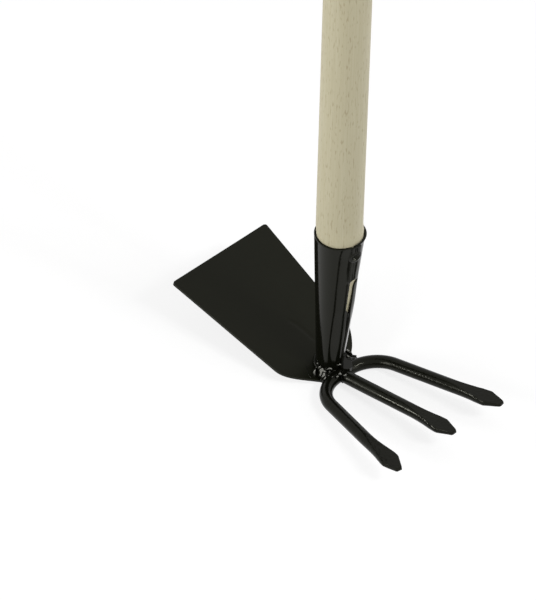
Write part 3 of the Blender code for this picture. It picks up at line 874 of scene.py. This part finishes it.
# %% Outline and surface of the blade
BLADE_TILT = math.radians(15.2)
BLADE_AXIS_Z = 4.7
PLATE = 1.8
REACH = 104.5
CORNER = 1.6
SHOULDER = (30.9, 21.0)
EDGE_HALF = 39.35
TONGUE_GAP = 0.3
TONGUE_HALF = (12.6, 16.2)
TONGUE_SET = 0.25


def bezier(p0, p1, p2, p3, steps):
    points = []
    for i in range(steps + 1):
        t = i / steps
        a, b, c, d = (1 - t) ** 3, 3 * t * (1 - t) ** 2, 3 * t * t * (1 - t), t ** 3
        points.append((a * p0[0] + b * p1[0] + c * p2[0] + d * p3[0],
                       a * p0[1] + b * p1[1] + c * p2[1] + d * p3[1]))
    return points


def side_curve(neck, pulls):
    """Half width of the blade against the distance along it, as a list to read from."""
    curve = bezier(SHOULDER, (SHOULDER[0] - pulls[0][0], SHOULDER[1] - pulls[0][1]),
                   (neck[0] + pulls[1][0], neck[1] + pulls[1][1]), neck, 40)
    pairs = [(along, half) for half, along in reversed(curve)]
    pairs.append((REACH - CORNER, EDGE_HALF))
    for turn in spaced(0.0, 0.5 * math.pi, 8)[1:]:
        pairs.append((REACH - CORNER + CORNER * math.sin(turn),
                      EDGE_HALF - CORNER * (1 - math.cos(turn))))
    return [(neck[1] - 6.0, neck[0])] + pairs


LEFT_SIDE = side_curve((12.6, -2.6), ((0.5, 8.8), (9.0, 8.8)))
RIGHT_SIDE = side_curve((16.6, 2.3), ((1.4, 5.0), (5.5, 3.2)))


def tongue_end(across):
    """The tongue is cut to sit against the fork's bent bar, whose rear side it follows."""
    return -bar_rear(across, TONGUE_GAP) / math.cos(BLADE_TILT) + TONGUE_SET


def plate_wave(u, v):
    """Small unevenness of the plate, in mm."""
    wave = 0.10 * math.sin(0.060 * u + 0.9) * math.sin(0.045 * v + 0.4)
    crease_u = between(v, [(22.1, 4.5), (30.6, 4.0), (37.6, 3.0), (41.4, 1.4)])
    fade = smooth_step((v - 16.0) / 8.0) * smooth_step((46.0 - v) / 8.0)
    crease = 0.36 * fade * math.exp(-((u - crease_u) / 1.2) ** 2)
    return wave - crease


def blade_point(u, v, depth):
    y = v * math.cos(BLADE_TILT) - depth * math.sin(BLADE_TILT)
    z = BLADE_AXIS_Z + v * math.sin(BLADE_TILT) + depth * math.cos(BLADE_TILT)
    return Vector((u, y, z)) * MM


print("blade is", 2.0 * EDGE_HALF, "mm wide at its edge, which is", REACH, "mm from the axis")

# %% Make the blade
def make_blade():
    bm = bmesh.new()
    columns, rows = 64, 110
    layers = []
    for depth in (0.0, -PLATE):
        grid = []
        for r in range(rows + 1):
            t = r / rows
            row = []
            for c in range(columns + 1):
                s = 2.0 * c / columns - 1.0
                sides = RIGHT_SIDE if s > 0.0 else LEFT_SIDE
                end = tongue_end(s * TONGUE_HALF[1 if s >= 0.0 else 0])
                along = end + (REACH - end) * t
                u = s * between(along, sides)
                row.append(bm.verts.new(blade_point(u, along, depth + plate_wave(u, along))))
            grid.append(row)
        layers.append(grid)
    top, under = layers
    for r in range(rows):
        for c in range(columns):
            bm.faces.new((top[r][c], top[r][c + 1], top[r + 1][c + 1], top[r + 1][c]))
            bm.faces.new((under[r][c], under[r + 1][c], under[r + 1][c + 1], under[r][c + 1]))
        for c in (0, columns):
            bm.faces.new((top[r][c], top[r + 1][c], under[r + 1][c], under[r][c]))
    for c in range(columns):
        for r in (0, rows):
            bm.faces.new((top[r][c], under[r][c], under[r][c + 1], top[r][c + 1]))
    mesh = mesh_from_bmesh("hoe_plate", bm)
    piece = finish_piece("hoe_plate", mesh, blade_paint, "hoe_blade", 40.0)
    round_edges(piece, "soft edge", 0.25 * MM, 3)


make_blade()

# %% [markdown]
# ## Fork
# The fork starts as round bar. One length is bent to a U for the outer tines, and a
# straight length makes the middle tine. The smith then hammers each end flat and cuts
# it to a spear point. A tree does the same: it skins a guide line with a unit circle,
# then presses every ring to the width and the thickness stored on the guide.

# %% Tree for a forged bar
BAR_SIDES = 48


def vector_math(tree, operation, first, second=None, scale=None):
    node = add_node(tree, 'ShaderNodeVectorMath', operation=operation)
    wire(tree, first, node.inputs[0])
    if second is not None:
        wire(tree, second, node.inputs[1])
    if scale is not None:
        wire(tree, scale, node.inputs["Scale"])
    output = "Value" if operation == 'DOT_PRODUCT' else "Vector"
    return node.outputs[output]


def stored_number(tree, label):
    node = add_node(tree, 'GeometryNodeInputNamedAttribute', data_type='FLOAT')
    node.inputs["Name"].default_value = label
    return node.outputs["Attribute"]


def bar_tree(material):
    tree, start, end = new_tree("Forged bar", [
        ("Bar radius", 'NodeSocketFloat'), ("Flat side", 'NodeSocketVector')])
    flat = start.outputs["Flat side"]
    bar_radius = start.outputs["Bar radius"]
    curve = add_node(tree, 'GeometryNodeMeshToCurve')
    keep = add_node(tree, 'GeometryNodeCaptureAttribute', domain='POINT')
    kinds = (('VECTOR', "centre"), ('VECTOR', "across"), ('FLOAT', "wide"), ('FLOAT', "thick"))
    for kind, label in kinds:
        keep.capture_items.new(kind, label)
    centre, sideways, thick = (keep.outputs[label] for label in ("centre", "across", "thick"))
    tangent = add_node(tree, 'GeometryNodeInputTangent')
    position = add_node(tree, 'GeometryNodeInputPosition')
    across = vector_math(tree, 'CROSS_PRODUCT', tangent.outputs[0], flat)
    across = vector_math(tree, 'NORMALIZE', across)
    circle = add_node(tree, 'GeometryNodeCurvePrimitiveCircle', mode='RADIUS')
    circle.inputs["Resolution"].default_value = BAR_SIDES
    skin = add_node(tree, 'GeometryNodeCurveToMesh')
    skin.inputs["Fill Caps"].default_value = True
    for source, target in (
            (start.outputs["Geometry"], curve.inputs[0]), (curve.outputs[0], keep.inputs["Geometry"]),
            (position.outputs[0], keep.inputs["centre"]), (across, keep.inputs["across"]),
            (stored_number(tree, "half_width"), keep.inputs["wide"]),
            (stored_number(tree, "half_thick"), keep.inputs["thick"]),
            (bar_radius, circle.inputs["Radius"]), (keep.outputs["Geometry"], skin.inputs["Curve"]),
            (circle.outputs[0], skin.inputs["Profile Curve"])):
        wire(tree, source, target)
    now = add_node(tree, 'GeometryNodeInputPosition')
    out = vector_math(tree, 'SUBTRACT', now.outputs[0], centre)
    side = vector_math(tree, 'DOT_PRODUCT', out, sideways)
    rise = vector_math(tree, 'DOT_PRODUCT', out, flat)
    widening = math_node(tree, 'DIVIDE', keep.outputs["wide"], bar_radius)
    new_side = math_node(tree, 'MULTIPLY', side, widening)
    low = math_node(tree, 'MULTIPLY', thick, -1.0)
    new_rise = math_node(tree, 'MAXIMUM', math_node(tree, 'MINIMUM', rise, thick), low)
    pressed = vector_math(tree, 'ADD', centre, vector_math(tree, 'SCALE', sideways, scale=new_side))
    pressed = vector_math(tree, 'ADD', pressed, vector_math(tree, 'SCALE', flat, scale=new_rise))
    move = add_node(tree, 'GeometryNodeSetPosition')
    wire(tree, skin.outputs["Mesh"], move.inputs["Geometry"])
    wire(tree, pressed, move.inputs["Position"])
    close_tree(tree, move.outputs[0], material, end)
    return tree


# %% Guide lines of the tines
FORK_TILT = math.radians(8.1)
FORK_AXIS_Z = 3.25
FLAT_SIDE = Vector((0.0, math.sin(FORK_TILT), math.cos(FORK_TILT)))

# Each tine: start of its bend or root, splay, reach of its nose, sideways set of its tip;
# the lengths are in mm.
LEFT_TINE = (LEFT_START, math.radians(13.7), 97.8, 1.2)
MIDDLE_TINE = (-0.2, math.radians(2.7), 98.2, -0.4)
RIGHT_TINE = (RIGHT_START, math.radians(10.0), 100.8, 0.5)
ROOT_START = FORK_BACK + 1.5

# Half width and half thickness against the distance back from the nose, in mm.
TIP_WIDTH = [(0.0, 1.5), (0.5, 1.9), (1.2, 2.25), (10.2, 5.75), (11.2, 5.9), (13.5, 5.85),
             (17.0, 5.45), (22.0, 4.75), (27.0, 4.3), (32.0, 4.1)]
TIP_THICKNESS = [(0.0, 0.7), (0.7, 1.0), (10.5, 1.7), (24.0, 2.75), (34.0, 3.75), (40.0, 4.1)]

# How far back from the nose the bar is forged, and how long its spear point is, in mm.
FORGED = 42.0
POINT = 12.0


def fork_point(q, p, height=0.0):
    y = -p * math.cos(FORK_TILT) + height * math.sin(FORK_TILT)
    z = FORK_AXIS_Z + p * math.sin(FORK_TILT) + height * math.cos(FORK_TILT)
    return Vector((q, y, z)) * MM


def straight_part(start, splay, reach, lean):
    """Points from the end of a bend or root out to the nose, with widths."""
    length = (reach - start[1]) / math.cos(splay)
    marks = spaced(length, FORGED, 14)[:-1] + spaced(FORGED, POINT, 40)[:-1] + spaced(POINT, 0.0, 30)
    rows = []
    for mark in marks:
        along = length - mark
        shift = lean * smooth_step((38.0 - mark) / 27.5)
        q = start[0] + along * math.sin(splay) + shift
        p = start[1] + along * math.cos(splay)
        rows.append((q, p, between(mark, TIP_WIDTH), between(mark, TIP_THICKNESS)))
    return rows


def bend_part(side, tine):
    """Points round one bend of the U, from its middle outwards."""
    rows = []
    steps = 26
    for i in range(steps):
        turn = (0.5 * math.pi - tine[1]) * i / steps
        q = side * (tine[0] + BEND * math.sin(turn))
        rows.append((q, FORK_BACK + BEND * (1 - math.cos(turn)), ROD, ROD))
    end = (side * (tine[0] + BEND * math.cos(tine[1])), FORK_BACK + BEND * (1 - math.sin(tine[1])))
    return rows + straight_part(end, side * tine[1], tine[2], tine[3])


def bar_mesh(tree, rows):
    points = [fork_point(q, p) for q, p, wide, thick in rows]
    widths = [wide * MM for q, p, wide, thick in rows]
    thicks = [thick * MM for q, p, wide, thick in rows]
    guide = guide_object(points, {"half_width": widths, "half_thick": thicks})
    return grow(guide, tree, {"Bar radius": ROD * MM, "Flat side": FLAT_SIDE})


print("right tine is led by", len(bend_part(1.0, RIGHT_TINE)), "points")

# %% Make the tines
def make_tines():
    tree = bar_tree(gloss_paint)
    left = bend_part(-1.0, LEFT_TINE)
    right = bend_part(1.0, RIGHT_TINE)
    outer = bar_mesh(tree, list(reversed(left)) + right)
    finish_piece("outer_tines_bar", outer, gloss_paint, "outer_tines", 32.0)
    middle = bar_mesh(tree, straight_part((MIDDLE_TINE[0], ROOT_START), *MIDDLE_TINE[1:]))
    finish_piece("middle_tine_bar", middle, gloss_paint, "middle_tine", 32.0)


make_tines()

# %% [markdown]
# ## Welds
# A hand-laid weld is a row of overlapping drops, each frozen a moment after the last.
# The tree drops a flattened ball at every step of a guide line, uneven in size. The
# balls are then fused and smoothed, as the molten metal was, and paint fills the dips.
# Where the metal ran and set level, it left small flat pools, a patch over the bar and
# low ridges on the plate. They are pressed into the bead and fused with it once more.

# %% Tree for a weld bead
DROP_FLATNESS = 0.62


def bead_tree(material):
    tree, start, end = new_tree("Weld bead", [
        ("Ripple spacing", 'NodeSocketFloat'), ("Drop radius", 'NodeSocketFloat'),
        ("Unevenness", 'NodeSocketFloat'), ("Seed", 'NodeSocketInt')])
    given = start.outputs
    curve = add_node(tree, 'GeometryNodeMeshToCurve')
    resample = add_node(tree, 'GeometryNodeResampleCurve', mode='LENGTH')
    ball = add_node(tree, 'GeometryNodeMeshIcoSphere')
    ball.inputs["Subdivisions"].default_value = 3
    tangent = add_node(tree, 'GeometryNodeInputTangent')
    align = add_node(tree, 'FunctionNodeAlignRotationToVector', axis='X')
    low = math_node(tree, 'SUBTRACT', 1.0, given["Unevenness"])
    high = math_node(tree, 'ADD', 1.0, given["Unevenness"])
    chance = add_node(tree, 'FunctionNodeRandomValue', data_type='FLOAT')
    size = math_node(tree, 'MULTIPLY', chance.outputs[1], stored_number(tree, "swell"))
    thin = add_node(tree, 'ShaderNodeCombineXYZ')
    place = add_node(tree, 'GeometryNodeInstanceOnPoints')
    for source, target in (
            (given["Geometry"], curve.inputs[0]), (curve.outputs[0], resample.inputs["Curve"]),
            (given["Ripple spacing"], resample.inputs["Length"]),
            (given["Drop radius"], ball.inputs["Radius"]), (tangent.outputs[0], align.inputs["Vector"]),
            (low, chance.inputs[2]), (high, chance.inputs[3]), (given["Seed"], chance.inputs["Seed"]),
            (math_node(tree, 'MULTIPLY', size, DROP_FLATNESS), thin.inputs["X"]),
            (size, thin.inputs["Y"]), (size, thin.inputs["Z"]),
            (resample.outputs[0], place.inputs["Points"]),
            (ball.outputs["Mesh"], place.inputs["Instance"]),
            (align.outputs[0], place.inputs["Rotation"]), (thin.outputs[0], place.inputs["Scale"])):
        wire(tree, source, target)
    close_tree(tree, place.outputs[0], material, end)
    return tree


# %% Fuse the drops of a bead
def fused(mesh, voxel, rounds):
    """Melt overlapping shapes into one skin and smooth it."""
    holder = bpy.data.objects.new("molten", mesh)
    bpy.context.scene.collection.objects.link(holder)
    melt = holder.modifiers.new("melt", 'REMESH')
    melt.mode = 'VOXEL'
    melt.voxel_size = voxel
    calm = holder.modifiers.new("calm", 'SMOOTH')
    calm.factor = 0.5
    calm.iterations = rounds
    return set_free(holder)


# %% Guide lines of the welds
def plate_height(y):
    """Height of the blade's upper face at a distance behind the handle's axis, in mm."""
    return BLADE_AXIS_Z + max(y, -2.0) * math.tan(BLADE_TILT)


def foot_guide():
    """Round the back and the sides of the socket's foot; the bead is fuller at its two ends."""
    points, swell = [], []
    reach = FOOT_RADIUS / MM + 0.5
    for t in spaced(0.0, 1.0, 120):
        turn = math.radians(36.0) + math.radians(288.0) * t
        y = FOOT_Y / MM - reach * math.cos(turn)
        points.append(Vector((reach * math.sin(turn), y, plate_height(y) + 1.0)) * MM)
        swell.append(0.60 + 0.50 * smooth_step((abs(t - 0.5) - 0.34) / 0.14))
    return points, swell


def fork_guide():
    """Along the groove between the tongue and the bar."""
    points, swell = [], []
    for t in spaced(0.0, 1.0, 90):
        q = -13.4 + 28.6 * t
        points.append(fork_point(q, bar_rear(q) + 0.4, 1.7))
        swell.append(0.45 + 0.60 * smooth_step(5.0 * min(t, 1.0 - t)))
    return points, swell


def root_guide():
    """Round the root of the middle tine, following the saddle where the two bars meet."""
    points, swell = [], []
    for turn in spaced(0.0, 2.0 * math.pi, 60):
        sink = 2.2 * math.sin(turn) ** 2
        points.append(fork_point(0.15 + 3.9 * math.cos(turn), 10.8 - sink, 3.9 * math.sin(turn)))
        swell.append(0.72 - 0.16 * math.sin(turn))
    return points, swell


print("foot weld follows", len(foot_guide()[0]), "points and fork weld", len(fork_guide()[0]))

# %% Places of the pools, the ridges and the patch
# Direction that the pools face, their sideways axis, how far each is tilted from it, how
# proud it stands in mm, and a power that is smaller for a flatter top.
POOL_FACING = Vector((-0.221, -0.643, 0.733))
POOL_ACROSS = Vector((0.693, -0.721, 0.0)).normalized()
POOL_TILT = 0.018
POOL_HEIGHT = 1.05
POOL_ROUNDING = 0.07

# Each pool: its centre, its half width and half height, all in mm, and its turn in degrees.
FOOT_POOLS = [((-9.0, 5.6, 10.6), 1.0, 1.0, 0.0), ((-12.5, 4.5, 6.3), 1.1, 2.4, -8.0),
              ((-9.8, 3.0, 8.8), 1.0, 2.0, 10.0), ((-10.6, 0.2, 8.1), 2.2, 2.9, -12.0),
              ((-11.3, -1.9, 7.3), 1.4, 2.0, -20.0), ((-7.5, -0.2, 9.0), 1.5, 0.9, 0.0),
              ((-6.4, -1.7, 9.4), 2.2, 0.9, 8.0), ((-1.2, -4.9, 11.7), 1.7, 0.75, 22.0)]
FORK_POOLS = [((-12.0, -3.6, 6.7), 0.8, 1.7, -18.0), ((-7.0, -2.5, 7.8), 0.7, 0.8, 0.0),
              ((-9.6, -4.2, 7.6), 0.7, 0.7, 0.0), ((-9.0, -7.0, 8.1), 0.8, 0.6, 0.0),
              ((-12.6, -1.6, 4.8), 0.8, 1.2, -30.0),
              ((15.0, 3.0, 6.9), 2.5, 0.8, -34.0), ((11.4, -1.3, 7.0), 2.7, 0.7, -37.0)]
ROOT_POOLS = [((-6.4, -8.7, 7.8), 1.0, 0.9, 20.0), ((-4.1, -8.5, 8.4), 1.3, 1.1, 10.0),
              ((-2.7, -11.5, 8.1), 1.2, 1.3, -20.0)]

# Fine ridges, each a line in mm beside, along and above the blade's own axes, and a radius.
FOOT_RIDGES = [([(-13.3, 11.3, 0.0), (-14.8, 8.8, 0.0), (-16.1, 6.1, 0.0), (-16.6, 2.9, 0.0)], 0.38)]
FORK_RIDGES = [([(15.0, 7.6, -0.35), (15.2, 3.6, -0.35), (15.2, 0.4, -0.35),
                 (16.9, -1.3, -0.35)], 1.1),
               ([(13.1, 4.6, 0.6), (10.0, -3.2, 3.8)], 0.75)]

# Outline of the flat patch of metal over the bar and the tongue at the right, in mm. Its
# top has a height at one place and slopes from there to the right and to the back.
PATCH = [(13.1, 4.0), (10.0, -4.4), (6.2, -9.4), (3.0, -10.2), (1.1, -9.6), (-0.1, -8.0), (0.2, -5.0),
         (3.9, -2.1), (8.4, 1.1)]
PATCH_AT = (14.0, 2.9)
PATCH_TOP = 6.9
PATCH_SLOPE = (-0.144, -0.084)
PATCH_DEPTH = 4.0
pool_count = len(FOOT_POOLS + FORK_POOLS + ROOT_POOLS)
print("welds carry", pool_count, "pools and", len(FOOT_RIDGES + FORK_RIDGES), "ridges")


# %% Shape the pools, the ridges and the patch
def patch_height(x, y):
    return PATCH_TOP + PATCH_SLOPE[0] * (x - PATCH_AT[0]) + PATCH_SLOPE[1] * (y - PATCH_AT[1])


def add_patch(mesh):
    """A flat-topped lump with straight edges."""
    bm = bmesh.new()
    bm.from_mesh(mesh)
    top = [bm.verts.new(Vector((x, y, patch_height(x, y))) * MM) for x, y in PATCH]
    under = [bm.verts.new(Vector((x, y, patch_height(x, y) - PATCH_DEPTH)) * MM) for x, y in PATCH]
    bm.faces.new(reversed(top))
    bm.faces.new(under)
    count = len(PATCH)
    for i in range(count):
        j = (i + 1) % count
        bm.faces.new((top[i], top[j], under[j], under[i]))
    bmesh.ops.recalc_face_normals(bm, faces=bm.faces)
    bm.to_mesh(mesh)
    bm.free()
    return mesh


def add_ridges(mesh, ridges):
    """Thin rods along lines on the blade."""
    bm = bmesh.new()
    bm.from_mesh(mesh)
    for line, radius in ridges:
        points = [blade_point(u, v, height) for u, v, height in line]
        wide = radius * MM
        for first, second in zip(points, points[1:]):
            along = second - first
            turn = along.to_track_quat('Z', 'Y').to_matrix().to_4x4()
            place = Matrix.Translation((first + second) * 0.5) @ turn
            bmesh.ops.create_cone(bm, cap_ends=True, segments=16, radius1=wide, radius2=wide,
                                  depth=along.length + wide, matrix=place)
    bm.to_mesh(mesh)
    bm.free()
    return mesh


def pool_axes(number):
    """Sideways, upward and outward axes of a pool; each pool is tilted a little differently."""
    tilt = Vector((POOL_TILT * math.sin(number * 2.1), 0.0, POOL_TILT * math.cos(number * 1.7)))
    facing = (POOL_FACING + tilt).normalized()
    across = (POOL_ACROSS - facing * POOL_ACROSS.dot(facing)).normalized()
    return across, facing.cross(across), facing


def add_pools(mesh, pools, seed):
    """Press flat pools of metal with an uneven outline into a bead."""
    bm = bmesh.new()
    bm.from_mesh(mesh)
    for number, (place, half_width, half_height, turn) in enumerate(pools):
        across, along, facing = pool_axes(number)
        cosine, sine = math.cos(math.radians(turn)), math.sin(math.radians(turn))
        for vertex in bmesh.ops.create_icosphere(bm, subdivisions=4, radius=1.0)["verts"]:
            point = vertex.co.copy()
            spin = math.atan2(point.y, point.x)
            uneven = (1.0 + 0.16 * math.sin(3.0 * spin + seed + number)
                      + 0.10 * math.sin(5.0 * spin + 2.0 * number))
            x = point.x * half_width * uneven
            y = point.y * half_height * uneven
            height = POOL_HEIGHT * math.copysign(abs(point.z) ** POOL_ROUNDING, point.z)
            vertex.co = (Vector(place) + across * (x * cosine - y * sine)
                         + along * (x * sine + y * cosine) + facing * height) * MM
    bm.to_mesh(mesh)
    bm.free()
    return mesh


# %% Make the welds
MOUND_VOXEL = 0.3 * MM
MOUND_ROUNDS = 14
SKIN_ROUNDS = 2
UNEVENNESS = 0.10


def weld(name, node, guide, spacing, radius, seed, voxel, pools, ridges=(), patched=False):
    """Lay drops on a guide, melt them to a mound, add what set flat and melt it all once more."""
    points, swell = guide
    holder = guide_object(points, {"swell": swell})
    drops = grow(holder, beads, {"Ripple spacing": spacing * MM, "Drop radius": radius * MM,
                                 "Unevenness": UNEVENNESS, "Seed": seed})
    mound = fused(drops, MOUND_VOXEL, MOUND_ROUNDS)
    print("mound of the", node, "has", len(mound.polygons), "faces")
    if patched:
        add_patch(mound)
    skin = fused(add_ridges(add_pools(mound, pools, seed), ridges), voxel * MM, SKIN_ROUNDS)
    finish_piece(name, skin, weld_paint, node, 75.0)


beads = bead_tree(weld_paint)
# Each bead: step and radius of its drops in mm, seed, and grain of its last skin in mm.
weld("foot_weld_bead", "foot_weld", foot_guide(), 1.5, 2.5, 4, 0.16, FOOT_POOLS, FOOT_RIDGES)
weld("fork_weld_bead", "fork_weld", fork_guide(), 1.5, 2.8, 9, 0.16, FORK_POOLS, FORK_RIDGES, True)
weld("tine_weld_bead", "middle_tine_weld", root_guide(), 1.0, 1.2, 2, 0.14, ROOT_POOLS)
